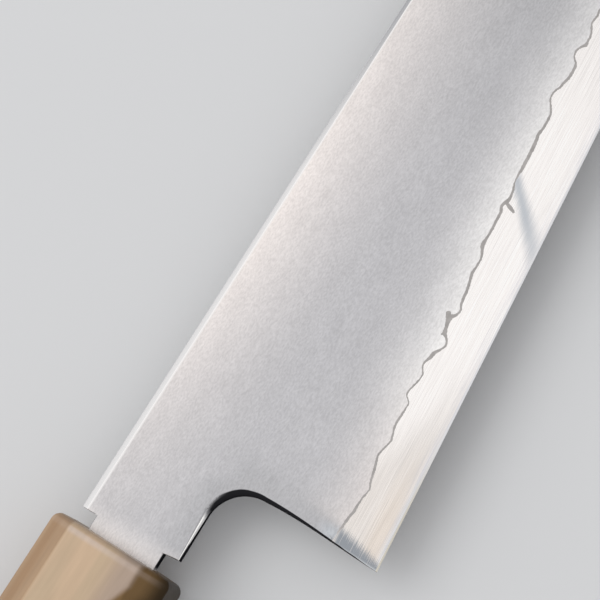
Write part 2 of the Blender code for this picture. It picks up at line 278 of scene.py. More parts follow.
# The weld line, where the soft cladding ends and the hard core comes through, as the photograph shows it
weld = {
    # pixel across, pixel down and pixels wide, read from the heel to the edge of the photograph
    "seen": [
        (333.5, 538.8, 1.0), (338.7, 531.0, 1.8), (342.4, 526.7, 2.4), (347.4, 519.2, 2.8),
        (353.6, 511.8, 2.9), (358.6, 503.7, 2.3), (362.9, 497.5, 2.0), (367.3, 492.5, 1.7),
        (370.0, 488.1, 1.8), (370.4, 483.2, 2.1), (372.9, 474.5, 2.7), (374.7, 468.3, 3.0),
        (376.6, 460.8, 2.7), (378.2, 455.2, 2.2), (383.4, 449.0, 2.0), (387.8, 444.6, 1.9),
        (390.9, 440.9, 1.9), (392.8, 434.7, 2.1), (394.6, 427.2, 2.2), (397.1, 421.6, 2.5),
        (402.1, 414.2, 2.4), (406.4, 407.3, 1.8), (408.6, 403.0, 1.5), (407.7, 398.6, 1.5),
        (406.8, 394.9, 1.6), (409.0, 390.4, 1.8), (412.0, 387.3, 1.9), (416.0, 383.2, 1.8),
        (420.6, 378.1, 1.8), (422.6, 374.1, 1.7), (422.9, 370.0, 1.5), (422.6, 366.6, 1.8),
        (423.8, 363.4, 2.0), (426.4, 360.6, 2.6), (429.8, 358.0, 3.5), (432.1, 355.4, 4.2),
        (434.1, 353.1, 4.2), (436.7, 351.4, 3.4), (440.1, 349.9, 2.4), (443.6, 347.6, 2.3),
        (445.9, 344.8, 2.2), (446.7, 341.3, 2.1), (446.2, 337.9, 2.6), (445.0, 334.6, 4.0),
        (445.0, 331.4, 4.6), (446.2, 327.4, 3.8), (447.3, 323.0, 4.6), (449.2, 318.6, 6.0),
        (452.0, 316.5, 4.6), (455.1, 315.5, 3.2), (457.9, 313.8, 2.5), (460.2, 311.2, 2.3),
        (461.1, 308.0, 2.3), (461.2, 304.4, 2.7), (463.7, 298.0, 3.2), (466.5, 291.7, 3.2),
        (468.9, 284.7, 3.2), (470.7, 278.4, 3.0), (472.4, 272.8, 3.2), (475.6, 267.9, 2.6),
        (478.7, 263.0, 2.4), (481.2, 258.1, 2.2), (482.0, 253.8, 2.6), (482.2, 250.3, 3.6),
        (482.4, 246.1, 4.4), (484.0, 242.4, 4.4), (486.6, 238.4, 3.3), (489.6, 233.6, 3.0),
        (493.2, 227.1, 3.2), (496.3, 220.9, 3.0), (499.2, 215.5, 3.4), (501.2, 211.0, 3.4),
        (501.5, 207.0, 3.2), (503.4, 203.8, 3.6), (506.6, 202.0, 4.4), (509.3, 199.3, 3.8),
        (511.5, 195.0, 2.8), (513.1, 190.1, 2.4), (514.0, 186.1, 2.2), (514.8, 182.1, 1.6),
        (516.9, 177.4, 1.8), (520.5, 171.4, 3.2), (524.6, 164.2, 3.8), (529.0, 155.9, 3.8),
        (532.9, 148.2, 3.8), (536.0, 141.2, 3.8), (538.6, 134.2, 3.6), (543.1, 128.5, 2.9),
        (546.9, 122.1, 3.0), (550.1, 115.7, 2.8), (550.9, 110.6, 2.4), (550.7, 105.5, 2.1),
        (550.4, 99.8, 1.8), (551.4, 95.9, 1.9), (555.2, 90.8, 2.0), (559.6, 87.7, 2.4),
        (563.5, 83.4, 2.8), (569.0, 77.5, 3.4), (572.8, 71.6, 3.2), (575.2, 66.2, 3.2),
        (575.8, 62.4, 2.1), (574.4, 58.0, 1.9), (574.7, 54.2, 1.9), (577.1, 49.9, 2.2),
        (582.0, 46.6, 2.6), (585.8, 45.2, 3.8), (588.0, 41.2, 2.6), (590.7, 35.8, 2.2),
        (591.5, 30.4, 2.2), (591.8, 23.3, 1.9), (594.5, 19.5, 2.2), (597.7, 15.2, 2.4),
        (599.9, 9.8, 2.2),
    ],
    # short spurs off the line
    "spurs": [
        [(448.6, 319.0, 6.0), (448.5, 315.4, 5.8), (448.5, 312.8, 5.6), (448.6, 310.9, 4.2)],
        [(446.0, 332.6, 3.8), (443.4, 333.4, 3.0), (441.0, 334.6, 1.4)],
        [(506.6, 203.0, 3.4), (509.2, 206.4, 4.4), (511.6, 209.6, 4.0), (514.2, 213.0, 2.2)],
    ],
    "pixel": 0.158,  # mm that one of them spans on the blade
    "castHeight": 0.5,
    "castTries": 3,
    "beyondHeight": 9.1,
    "beyondSwing": 0.75,
    "rightSeeds": (7, 3),  # for the line beyond the photograph and for its ragged sides
    "leftSeeds": (23, 5),
    "stride": (1.1, 3.2),
    "widths": (0.26, 0.62),
    "leftStartWidth": 0.3,
    "startLift": 0.1,
    "startsPastHeel": 1.5,
    "sampleStep": 0.2,
    "placeStep": 0.06,
    "placeRoom": 0.25,
    "calmSteps": (-4.0, -2.5, -1.0, 0.0, 1.0, 2.5, 4.0),
    "endFade": 1.5,
    "ragged": 0.05,
    "raggedFrom": 0.1,
    "bluntEnd": 0.02,
    "proud": 0.004,
    "spurSteps": 0.001,  # how much lower each spur lies than the one before
    "sunk": 0.03,
    "tipRun": 16.0,
    "tipGap": 4.6,
    "tipShare": 0.6,
    "tipPower": 6,
}


def tipLimit(x):
    # Near the tip the line climbs to meet the spine
    toTip = unit((x - (tipX - weld["tipGap"] - weld["tipRun"])) / weld["tipRun"])
    share = weld["tipShare"] + (1 - weld["tipShare"]) * toTip**2
    return share * (spineAt(x) - edgeAt(x))


def underLimit(x, height):
    power = weld["tipPower"]
    return (height**-power + tipLimit(x) ** -power) ** (-1 / power)


def wander(path, seed):
    # The line goes on past the photograph with turns and widths of the same kind
    draw = random.Random(seed)
    x = path[-1][0]
    while x < tipX - weld["tipGap"]:
        x += draw.uniform(*weld["stride"])
        height = weld["beyondHeight"] + draw.uniform(-1, 1) * weld["beyondSwing"]
        path.append((x, edgeAt(x) + underLimit(x, height), draw.uniform(*weld["widths"])))
    return path


def smoothPath(points, step):
    # Catmull-Rom curve through the points
    fine = []
    for index in range(len(points) - 1):
        before = Vector(points[max(index - 1, 0)])
        first = Vector(points[index])
        second = Vector(points[index + 1])
        after = Vector(points[min(index + 2, len(points) - 1)])
        count = max(1, round((second.xy - first.xy).length / step))
        for part in range(count):
            t = part / count
            bend = (2 * before - 5 * first + 4 * second - after) * t**2
            twist = (3 * first - before - 3 * second + after) * t**3
            fine.append(0.5 * (2 * first + (second - before) * t + bend + twist))
    return fine + [Vector(points[-1])]


def seenPath(points):
    path = []
    for pixelX, pixelY, wide in points:
        height = weld["castHeight"]
        for _ in range(weld["castTries"]):
            x, y = fromPhoto(pixelX, pixelY, height)
            height = halfAt(x, y)
        path.append((x - swingAt(x, y), y, wide * weld["pixel"]))
    return path


seen = seenPath(weld["seen"])
seen[0] = (heelX, seen[0][1] + weld["startLift"], seen[0][2])
rightPath = smoothPath(wander(seen, weld["rightSeeds"][0]), weld["sampleStep"])
heelLineY = rightPath[0].y
leftPath = wander([(heelX, heelLineY, weld["leftStartWidth"])], weld["leftSeeds"][0])
leftPath = smoothPath(leftPath, weld["sampleStep"])


def linePlaces(path):
    # Every third sample of the line, as places that always move toward the tip, up to the spine
    places = [(heelX, heelLineY)]
    for point in path[2::3]:
        room = spineAt(point.x) - point.y
        if point.x > places[-1][0] + weld["placeStep"] and room > weld["placeRoom"]:
            places.append((point.x, point.y))
    return places


def heightOn(places, x):
    # Where the line runs at x, and the spine beyond its end
    if x >= places[-1][0]:
        fade = (x - places[-1][0]) / weld["endFade"]
        if fade >= 1:
            return spineAt(x)
        return places[-1][1] + (spineAt(x) - places[-1][1]) * fade
    for (x0, y0), (x1, y1) in zip(places, places[1:]):
        if x0 <= x <= x1:
            return y0 + (y1 - y0) * (x - x0) / (x1 - x0)
    return places[0][1]


def calmHeight(places, x):
    # The line's height with its small turns evened out
    heights = [heightOn(places, max(heelX, x + step)) for step in weld["calmSteps"]]
    return sum(heights) / len(heights)


rightPlaces = linePlaces(rightPath)
leftPlaces = linePlaces(leftPath)
print("weld lines drawn:", len(rightPlaces), "and", len(leftPlaces), "places")


def loft(name, rings, marks=None):
    # A grid is laid over the rings, welded along its long borders and closed at its ends
    bm = bmesh.new()
    around = len(rings[0])
    bmesh.ops.create_grid(bm, x_segments=around, y_segments=len(rings) - 1, size=1.0)
    bm.verts.ensure_lookup_table()
    layers = {key: bm.verts.layers.float.new(key) for key in (marks or {})}
    for index, vert in enumerate(bm.verts):
        row, column = divmod(index, around + 1)
        x, y, z = rings[row][column % around]
        vert.co = place(x, y, z)
        for key, layer in layers.items():
            vert[layer] = marks[key](x, y)
    bmesh.ops.remove_doubles(bm, verts=bm.verts, dist=rows["merge"] * mm)
    bmesh.ops.dissolve_degenerate(bm, edges=bm.edges, dist=rows["merge"] * mm)
    openEdges = [edge for edge in bm.edges if edge.is_boundary]
    bmesh.ops.holes_fill(bm, edges=openEdges, sides=0)
    bmesh.ops.recalc_face_normals(bm, faces=bm.faces)
    uvLayer = bm.loops.layers.uv.new("alongBlade")
    for face in bm.faces:
        for loop in face.loops:
            x = (loop.vert.co.x - start.x) / mm
            y = (loop.vert.co.y - start.y) / mm
            loop[uvLayer].uv = ((x - heelX) / mapSpan, (y - edgeAt(x)) / mapSpan)
    for vert in bm.verts:
        vert.co.x += swingAt((vert.co.x - start.x) / mm, (vert.co.y - start.y) / mm) * mm
    return finishMesh(name, bm, rows["sharpOver"])


def newObject(name, bm):
    mesh = bpy.data.meshes.new(name)
    bm.to_mesh(mesh)
    bm.free()
    made = bpy.data.objects.new(name, mesh)
    bpy.context.scene.collection.objects.link(made)
    return made


def finishMesh(name, bm, sharp, cutters=()):
    piece = newObject(name, bm)
    piece.data.shade_smooth()
    if cutters:
        hollowOut(piece, cutters)
    piece.data.set_sharp_from_angle(angle=math.radians(sharp))
    weighted = piece.modifiers.new("evenShading", "WEIGHTED_NORMAL")
    weighted.keep_sharp = True
    return piece


# Columns of the blade's faces: each runs from a point of the lower border to one of the spine
rows = {
    "merge": 0.0005,
    "sharpOver": 40,
    "roundSteps": 5,
    "pastRound": (1.02, 1.16, 1.4, 1.8),
    "faceRows": 12,
    "nearLine": (0.0, 0.05, 0.12, 0.28, 0.45, 0.65, 0.82, 1.0),
    "neckColumns": 26,
    "crowd": 1.7,
    "arcColumns": 28,
    "heelColumns": 34,
    "heelStations": (0.0, 0.02, 0.05, 0.09, 0.15, 0.23, 0.33, 0.46, 0.62),
    "spineRows": (0.0, 0.12, 0.45, 0.85, 1.0, 1.12, 1.4),
    "tangColumns": (10, 2, 12),
    "spineShift": (12, 18, 26),  # where the neck's, the choil's and the heel's columns end, past the notch
    "spreadPast": 0.2,
    "lineClear": 1.85,
    "nearShare": 0.4,
    "easeShare": 0.35,
    "innerRows": (0.0, 0.4, 0.8, 1.0),
    "buriedRows": (0.0, 0.35, 0.7, 1.0),
    "bevelRows": (0.0, 0.3, 0.6, 0.94, 1.0),
    "bevelStep": 0.04,
    "bareRows": 7,
    "underLine": (0.6, 0.32, 0.14, 0.04, 0.0),
    "leastWall": 0.01,
    "beyondStep": 0.5,
    "leastGap": 0.004,
}


def between(first, last, count, crowd=1.0):
    # Points from the first toward the last, closer together at the start where crowd is over 1
    points = []
    for index in range(count):
        part = (index / count) ** crowd
        points.append((first[0] + (last[0] - first[0]) * part, first[1] + (last[1] - first[1]) * part))
    return points


def behindHeel():
    # Both borders from the tang's end to the heel, with the way into the steel at each lower point
    lowX, outX = blade["lowNotch"]
    top, notch = blade["spineY"], blade["topNotch"]
    reach = blade["choilRadius"]
    lower = tangBorder(-1, lowX, blade["tangLow"])
    tangCount = len(lower)
    lower += between((outX, neckY), (choilX, neckY), rows["neckColumns"], rows["crowd"])
    ways = [(0.0, 1.0)] * len(lower)
    for index in range(rows["arcColumns"]):
        turn = math.pi / 2 * (1 - index / rows["arcColumns"])
        ways.append((math.cos(turn), math.sin(turn)))
        lower.append((choilX + reach * math.cos(turn), choilY + reach * math.sin(turn)))
    lower += between((heelX, choilY), (heelX, heelLineY), rows["heelColumns"])
    lower.append((heelX, heelLineY))
    ways += [(1.0, 0.0)] * (len(lower) - len(ways))
    upper = tangBorder(1, notch, blade["tangTop"])
    byNeck, byChoil, byHeel = (notch + shift for shift in rows["spineShift"])
    upper += between((notch, top), (byNeck, top), rows["neckColumns"], rows["crowd"])
    upper += between((byNeck, top), (byChoil, top), rows["arcColumns"])
    upper += between((byChoil, top), (byHeel, top), rows["heelColumns"] + 1)
    return lower, upper, ways, tangCount


def tangBorder(side, notchX, notchY):
    # One border of the tang: its taper, its shoulder and the straight stretch to the notch
    middle = (blade["tangTop"] + blade["tangLow"]) / 2
    frontY, endY = (middle + side * tall / 2 for tall in blade["tangHeights"])
    shoulder, front = blade["shoulder"]
    turns = [(blade["tangEnd"], endY), (shoulder, frontY), (front, notchY), (notchX, notchY)]
    border = []
    for first, last, count in zip(turns, turns[1:], rows["tangColumns"]):
        border += between(first, last, count)
    return border + [turns[-1]]


def insets(radius):
    steps = rows["roundSteps"] - 1
    rounded = [radius * (1 - math.sin(math.pi / 2 * (1 - step / steps))) for step in range(steps)]
    return rounded + [radius * share for share in rows["pastRound"]]


def bladeColumns(places, stationXs):
    # Each column: points across the face from the lower border to the spine
    lower, upper, ways, tangCount = behindHeel()
    bends = len(lower)
    spread = upper[-1][0] + rows["spreadPast"] - heelX
    lineEnd = places[-1][0]
    cornerRound = roundWideAt(*lower[-1])
    for x in stationXs:
        if heelX + rows["lineClear"] * cornerRound < x <= lineEnd:
            shift = spread * (1 - (x - heelX) / (lineEnd - heelX)) ** 2
            lower.append((x, heightOn(places, x)))
            upper.append((x + shift, spineAt(x + shift)))
    columns = []
    for index, (low, high) in enumerate(zip(lower, upper)):
        low, high = Vector(low), Vector(high)
        tall = (high - low).length
        if index < bends:
            radius = blade["notchRound"] if index < tangCount else roundWideAt(*low)
            near = [low + Vector(ways[index]) * depth for depth in insets(radius)]
        else:
            depths = [(depth, depth / rows["nearLine"][-1]) for depth in rows["nearLine"]]
            near = [low.lerp(high, min(depth / tall, rows["nearShare"] * part)) for depth, part in depths]
        if index == bends - 1:
            near = [Vector((point.x, heightOn(places, point.x))) for point in near]
        wide = blade["notchRound"]
        if index >= tangCount:
            wide = min(blade["spineEase"][0] * easeAt(high.x), rows["easeShare"] * tall)
        far = [high - Vector((0, wide * row)) for row in rows["spineRows"]]
        steps = rows["faceRows"] + 1
        face = [near[-1].lerp(far[-1], part / steps) for part in range(1, steps)]
        columns.append(near + face + far[::-1])
    return columns, lower, upper


def claddingPiece(name, side, places):
    columns, lower, upper = bladeColumns(places, stations([places]))
    rings = []
    for column, low, high in zip(columns, lower, upper):
        ring = [(point.x, point.y, side * faceAt(point.x, point.y)) for point in column]
        for part in rows["innerRows"]:
            x = high[0] + (low[0] - high[0]) * part
            y = high[1] + (low[1] - high[1]) * part
            inner = min(coreHalf(x, y) + blade["weldGap"], faceAt(x, y) - rows["leastWall"])
            ring.append((x, y, side * inner))
        rings.append(ring)
    return loft(name, rings, {**cutMarks, **faceMarks, "aboveLine": aboveLine(places)})


def corePiece(name):
    # Two mirrored sides round one ring: last bevel, bared steel up to the weld line, then the buried plane
    lower, upper, _, _ = behindHeel()
    bareRows = rows["bareRows"]
    shown = len(rows["bevelRows"]) + 1 + bareRows + len(rows["underLine"])
    rings = []
    for low, high in zip(lower, upper):
        side = [(low[0], low[1], coreHalf(*low))] * shown
        for part in rows["buriedRows"]:
            x = low[0] + (high[0] - low[0]) * part
            y = low[1] + (high[1] - low[1]) * part
            side.append((x, y, coreHalf(x, y)))
        rings.append(side + [(x, y, -z) for x, y, z in reversed(side)])
    spread = upper[-1][0] - heelX
    for x in stations([rightPlaces, leftPlaces]):
        shift = spread * max(0.0, 1 - (x - heelX) / (edgeLength - weld["tipGap"])) ** 2
        far = (x + shift, spineAt(x + shift))
        halves = []
        for places in (rightPlaces, leftPlaces):
            lineY = heightOn(places, x)
            ys = [edgeAt(x) + bevelAt(x) * row for row in rows["bevelRows"]]
            ys.append(ys[-1] + rows["bevelStep"])
            room = min(1.0, lineY - ys[-1])
            last = [lineY - depth * room for depth in rows["underLine"]]
            ys += [ys[-1] + (last[0] - ys[-1]) * (row + 1) / (bareRows + 1) for row in range(bareRows)]
            ys += last
            side = [(x, y, faceAt(x, y)) for y in ys]
            deepest = faceAt(x, lineY) - rows["leastWall"]
            for part in rows["buriedRows"]:
                innerX = x + (far[0] - x) * part
                innerY = lineY + (far[1] - lineY) * part
                side.append((innerX, innerY, min(coreHalf(innerX, innerY), deepest)))
            halves.append(side)
        rings.append(halves[0] + [(px, py, -pz) for px, py, pz in reversed(halves[1])])
    return loft(name, rings, cutMarks)


def ribbon(name, paths, side, seed):
    # The weld line itself: a thin rough-edged strip let into the face, with any spurs
    draw = random.Random(seed)
    joined = None
    for order, path in enumerate(paths):
        rings = []
        proud = weld["proud"] - weld["spurSteps"] * order
        for index, point in enumerate(path):
            before = path[max(index - 1, 0)].xy
            after = path[min(index + 1, len(path) - 1)].xy
            along = (after - before).normalized()
            across = Vector((-along.y, along.x))
            fromEnd = min(index, len(path) - 1 - index) * weld["sampleStep"]
            half = point.z / 2 * math.sqrt(min(1.0, (fromEnd + weld["bluntEnd"]) / (point.z / 2)))
            ragged = weld["ragged"] * min(1.0, half / weld["raggedFrom"])
            outer = point.xy + across * (half + draw.uniform(-ragged, ragged))
            inner = point.xy - across * (half + draw.uniform(-ragged, ragged))
            line = [outer, point.xy, inner]
            ring = [(spot.x, spot.y, side * (faceOn(spot) + proud)) for spot in line]
            ring += [(spot.x, spot.y, side * (faceOn(spot) - weld["sunk"])) for spot in reversed(line)]
            rings.append(ring)
        part = loft(name, rings)
        if joined is None:
            joined = part
            continue
        bm = bmesh.new()
        bm.from_mesh(joined.data)
        bm.from_mesh(part.data)
        bm.to_mesh(joined.data)
        bm.free()
        bpy.data.objects.remove(part)
    return joined


def faceOn(spot):
    x = max(spot.x, heelX)
    return faceAt(x, min(spot.y, spineAt(x)))


lineEndX = max(rightPlaces[-1][0], leftPlaces[-1][0])


def stations(placeLists):
    # Where the faces get a column: at every turn of the line, and a few more
    xs = [heelX + depth for depth in rows["heelStations"]]
    byHeel = xs[-1]
    for places in placeLists:
        xs += [x for x, _ in places if x > byHeel]
    last = lineEndX
    while last < tipX:
        xs.append(last)
        last += rows["beyondStep"]
    xs.append(tipX)
    xs.sort()
    kept = [xs[0]]
    for x in xs[1:]:
        if x - kept[-1] > rows["leastGap"]:
            kept.append(x)
    return kept


# Marks on the blade's points that its materials read: four from 0 to 1, then two distances
# Where the marks lie: polished walls and rounds with their painted dark reflection and highlight, and the
# painted highlight and shade lines
polishAndPaintedLight = {
    "wall": 0.02,  # mm into the steel that still belong to the wall
    "notchCorner": (0.6, 0.3),
    "darkPastChoil": (-0.45, 1.15),
    "brightPastChoil": (0.5, -0.7),
    "roundShare": 1.05,
    "spineShare": 1.01,
    "fadeFrom": 0.9,
    "fadeSooner": 0.5,
    "soonerTurns": (60.0, 80.0),
    "fadeTo": 1.4,
    "softTurns": (50.0, 65.0),
    "brightLine": (0.95, 1.2),
    "greyLine": (1.1, 1.5),
    "greyPastChoil": 1.0,
}


def paintedDarkOnPolish(x, y):
    # The choil and the walls of the cut edges are buffed bright, and the dark that they mirror is painted
    # on them
    depth = choilDepth(x, y)
    besideNotch, overNeck = polishAndPaintedLight["notchCorner"]
    if x < 0.0:
        return 0.0
    if notchDepth(x, y) < polishAndPaintedLight["wall"]:
        return 1.0
    if x <= blade["lowNotch"][0] + besideNotch and y > neckY + overNeck:
        return 0.0
    if depth < polishAndPaintedLight["wall"]:
        return 1.0
    wide = roundWideAt(x, max(y, edgeAt(x)))
    turn = turnAt(x, y)
    crisp = 1.0 if depth < wide * polishAndPaintedLight["roundShare"] else 0.0
    begins = polishAndPaintedLight["fadeFrom"] - polishAndPaintedLight["fadeSooner"] * rise(turn, *polishAndPaintedLight["soonerTurns"])
    faded = rise(depth / wide, polishAndPaintedLight["fadeTo"], begins)
    soft = rise(turn, *polishAndPaintedLight["softTurns"])
    return rise(x - choilX, *polishAndPaintedLight["darkPastChoil"]) * (crisp + (faded - crisp) * soft)


def paintedHighlightOnPolish(x, y):
    # The eased spine and the rounded neck are polished and carry a painted highlight
    ease = blade["spineEase"][0] * easeAt(x)
    if x > blade["topNotch"] and spineAt(x) - y < ease * polishAndPaintedLight["spineShare"]:
        return 1.0
    rounded = polishAndPaintedLight["wall"] < choilDepth(x, y) < roundWideAt(x, y) * polishAndPaintedLight["roundShare"]
    if x > blade["lowNotch"][0] and rounded:
        return rise(x - choilX, *polishAndPaintedLight["brightPastChoil"])
    return 0.0


def brightLine(x, y):
    # A thin painted highlight line where the eased spine meets the face
    low, high = polishAndPaintedLight["brightLine"]
    share = (spineAt(x) - y) / (blade["spineEase"][0] * easeAt(x))
    return 1.0 if x >= blade["topNotch"] and low < share < high else 0.0


def greyLine(x, y):
    # A thin painted shade line where the neck's rounding meets the face
    low, high = polishAndPaintedLight["greyLine"]
    share = choilDepth(x, y) / roundWideAt(x, max(y, edgeAt(x)))
    onNeck = blade["lowNotch"][1] < x < choilX + polishAndPaintedLight["greyPastChoil"]
    return 1.0 if onNeck and low < share < high else 0.0


def underSpine(x, y):
    return (spineAt(x) - y) / markSpan


def aboveLine(places):
    return lambda x, y: (y - calmHeight(places, max(x, heelX))) / markSpan


def pastHeel(path):
    return [point for point in path if point.x > heelX + weld["startsPastHeel"]]


cutMarks = {"paintedDarkOnPolish": paintedDarkOnPolish, "paintedHighlightOnPolish": paintedHighlightOnPolish}
faceMarks = {"brightLine": brightLine, "greyLine": greyLine, "underSpine": underSpine}
rightCladding = claddingPiece("rightCladding", 1, rightPlaces)
leftCladding = claddingPiece("leftCladding", -1, leftPlaces)
coreLayer = corePiece("coreLayer")
spurs = [smoothPath(seenPath(spur), weld["sampleStep"] / 2) for spur in weld["spurs"]]
rightWeld = ribbon("rightWeldLine", [pastHeel(rightPath)] + spurs, 1, weld["rightSeeds"][1])
leftWeld = ribbon("leftWeldLine", [pastHeel(leftPath)], -1, weld["leftSeeds"][1])
bladePieces = (rightCladding, leftCladding, coreLayer, rightWeld, leftWeld)
print("blade made:", *(f"{piece.name} {len(piece.data.polygons)}" for piece in bladePieces))

# Handle: octagonal bars with eased corners
handle = {
    "frontHeight": 23.5,
    "bevel": 4.8,
    "frontRound": 1.6,
    "frontSteps": 5,
    "endChamfer": 1.2,
    "ease": 0.28,
    "easeSteps": 2,
    "easeOver": 30,  # degrees between the faces of an edge that is eased
    "sharpOver": 35,
    "jointEase": 0.1,
    "jointGap": 0.03,
    "slotClearance": 0.08,
    "slotDepth": 6.0,
    "boreRadius": 6.8,
    "boreGap": 0.3,
    "cutPast": 1.0,
    "sides": 64,
}
handleThick = (woodHigh.z - woodLow.z) / mm
buttHeight = (woodHigh.y - woodLow.y) / mm
buttX = (woodLow.x - start.x) / mm
ferruleEnd = (ferruleLow.x - start.x) / mm
dowelEnd = (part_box("handle_dowel")[0].x - start.x) / mm - handle["boreGap"]
beddingLow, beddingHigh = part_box("tang_bedding")
beddingRadius = (beddingHigh.z - beddingLow.z) / 2 / mm + handle["boreGap"]
beddingEnd = (beddingLow.x - start.x) / mm - handle["boreGap"]


def handleHeight(x):
    # Grows toward the butt
    return handle["frontHeight"] + (buttHeight - handle["frontHeight"]) * x / buttX


def octagonBar(front, backX, finished, rounding, segments):
    # Long edges bevelled, one end finished and the other left crisp for the joint
    bm = bmesh.new()
    bmesh.ops.create_cube(bm, size=1.0)
    for vert in bm.verts:
        x = front if vert.co.x > 0 else backX
        vert.co = place(x, vert.co.y * handleHeight(x), vert.co.z * handleThick)
    longEdges = [edge for edge in bm.edges if abs(edge.verts[0].co.x - edge.verts[1].co.x) > mm]
    bevelEdges(bm, longEdges, handle["bevel"], 1)
    bevelEdges(bm, [edge for edge in bm.edges if liesAt(edge, finished)], rounding, segments)
    joint = front if finished == backX else backX
    outer = [edge for edge in bm.edges if not liesAt(edge, joint)]
    sharp = [edge for edge in outer if edge.calc_face_angle(0) > math.radians(handle["easeOver"])]
    bevelEdges(bm, sharp, handle["ease"], handle["easeSteps"])
    bevelEdges(bm, [edge for edge in bm.edges if liesAt(edge, joint)], handle["jointEase"], 1)
    bmesh.ops.recalc_face_normals(bm, faces=bm.faces)
    return bm


def liesAt(edge, x):
    return all(abs(vert.co.x - place(x, 0, 0).x) < mm / 100 for vert in edge.verts)


def bevelEdges(bm, edges, offset, segments):
    bmesh.ops.bevel(
        bm, geom=edges, offset=offset * mm, offset_type="OFFSET", affect="EDGES",
        segments=segments, profile=0.5, material=-1,
    )


def hollowOut(piece, cutters):
    # Cuts the hidden slot and bores, then keeps the result as plain mesh
    for cutter in cutters:
        cut = piece.modifiers.new("cut", "BOOLEAN")
        cut.operation = "DIFFERENCE"
        cut.solver = "EXACT"
        cut.object = cutter
    bpy.context.view_layer.update()
    made = bpy.data.meshes.new_from_object(piece.evaluated_get(bpy.context.evaluated_depsgraph_get()))
    made.name = piece.data.name
    piece.data = made
    piece.modifiers.clear()
    for cutter in cutters:
        bpy.data.objects.remove(cutter)


def cutterFrom(bm):
    bmesh.ops.recalc_face_normals(bm, faces=bm.faces)
    cutter = newObject("cutter", bm)
    cutter.hide_render = True
    return cutter


def slotCutter():
    bm = bmesh.new()
    bmesh.ops.create_cube(bm, size=1.0)
    tall = blade["tangTop"] - blade["tangLow"] + 2 * handle["slotClearance"]
    middle = (blade["tangTop"] + blade["tangLow"]) / 2
    thick = blade["spineThick"] + 2 * handle["slotClearance"]
    for vert in bm.verts:
        x = handle["cutPast"] if vert.co.x > 0 else -handle["slotDepth"] - handle["cutPast"]
        vert.co = place(x, middle + vert.co.y * tall, vert.co.z * thick)
    return cutterFrom(bm)


def boreCutter(steps):
    # Bores about the handle's centre line, each given by its radius, its start and its end
    profile = [(steps[0][1], 0.0)]
    for radius, first, last in steps:
        profile += [(first, radius), (last, radius)]
    profile.append((steps[-1][2], 0.0))
    bm = bmesh.new()
    verts = [bm.verts.new(place(x, radius, 0)) for x, radius in profile]
    edges = [bm.edges.new(pair) for pair in zip(verts, verts[1:])]
    bmesh.ops.spin(
        bm, geom=verts + edges, cent=start, axis=(1, 0, 0), dvec=(0, 0, 0),
        angle=2 * math.pi, steps=handle["sides"], use_merge=True, use_duplicate=False,
    )
    bmesh.ops.remove_doubles(bm, verts=bm.verts, dist=mm / 1000)
    return cutterFrom(bm)


collar = octagonBar(0.0, ferruleEnd, 0.0, handle["frontRound"], handle["frontSteps"])
dowelBore = (handle["boreRadius"], -handle["slotDepth"], ferruleEnd - handle["cutPast"])
ferrule = finishMesh("hornFerrule", collar, handle["sharpOver"], [slotCutter(), boreCutter([dowelBore])])
grip = octagonBar(ferruleEnd - handle["jointGap"], buttX, buttX, handle["endChamfer"], 1)
dowelBore = (handle["boreRadius"], ferruleEnd + handle["cutPast"], dowelEnd)
pilotBore = (beddingRadius, dowelEnd, beddingEnd)
body = finishMesh("woodHandle", grip, handle["sharpOver"], [boreCutter([dowelBore, pilotBore])])
print("handle made:", len(ferrule.data.polygons), "and", len(body.data.polygons), "faces")


# Shader nodes: an input takes a number, a vector, a colour or another node's output
def feed(socket, value):
    if isinstance(value, bpy.types.NodeSocket):
        socket.id_data.links.new(value, socket)
    elif socket.type == "RGBA":
        socket.default_value = (*value, 1.0)
    else:
        socket.default_value = value


def addNode(tree, kind, inputs=None, **settings):
    node = tree.nodes.new(kind)
    for key, value in settings.items():
        setattr(node, key, value)
    for key, value in (inputs or {}).items():
        feed(node.inputs[key], value)
    return node


def treeOf(*values):
    return next(value.id_data for value in values if isinstance(value, bpy.types.NodeSocket))


def addMath(operation, *values):
    inputs = dict(enumerate(values))
    return addNode(treeOf(*values), "ShaderNodeMath", inputs, operation=operation).outputs[0]


def times(first, *others):
    for other in others:
        first = addMath("MULTIPLY", first, other)
    return first


def ramp(value, low, high, toLow=0.0, toHigh=1.0, interpolation="LINEAR"):
    inputs = {"Value": value, "From Min": low, "From Max": high, "To Min": toLow, "To Max": toHigh}
    return addNode(treeOf(value), "ShaderNodeMapRange", inputs, interpolation_type=interpolation).outputs[0]


def fade(value, *places):
    # Like a ramp, with soft ends
    return ramp(value, *places, interpolation="SMOOTHSTEP")


def addMix(factor, first, second, blend="MIX"):
    node = addNode(treeOf(factor, first), "ShaderNodeMix", data_type="RGBA", blend_type=blend)
    shown = [socket for socket in node.inputs if socket.enabled]
    for socket, value in zip(shown, (factor, first, second)):
        feed(socket, value)
    return [socket for socket in node.outputs if socket.enabled][0]


def addTone(colour, factor):
    # The same factor on every channel of a colour
    channels = {"Red": factor, "Green": factor, "Blue": factor}
    shade = addNode(treeOf(factor), "ShaderNodeCombineColor", channels)
    return addMix(1.0, colour, shade.outputs[0], "MULTIPLY")


def newGroup(name, inputs, outputs):
    # Every group takes a place, and its other inputs are numbers with these defaults
    group = bpy.data.node_groups.new(name, "ShaderNodeTree")
    group.interface.new_socket(name="Place", in_out="INPUT", socket_type="NodeSocketVector")
    for label, value in inputs.items():
        socket = group.interface.new_socket(name=label, in_out="INPUT", socket_type="NodeSocketFloat")
        socket.default_value = value
    for label in outputs:
        group.interface.new_socket(name=label, in_out="OUTPUT", socket_type="NodeSocketFloat")
    return group, group.nodes.new("NodeGroupInput").outputs, group.nodes.new("NodeGroupOutput").inputs


def addNoise(tree, place, scale, detail, roughness):
    inputs = {"Vector": place, "Scale": scale, "Detail": detail, "Roughness": roughness}
    return addNode(tree, "ShaderNodeTexNoise", inputs).outputs[0]


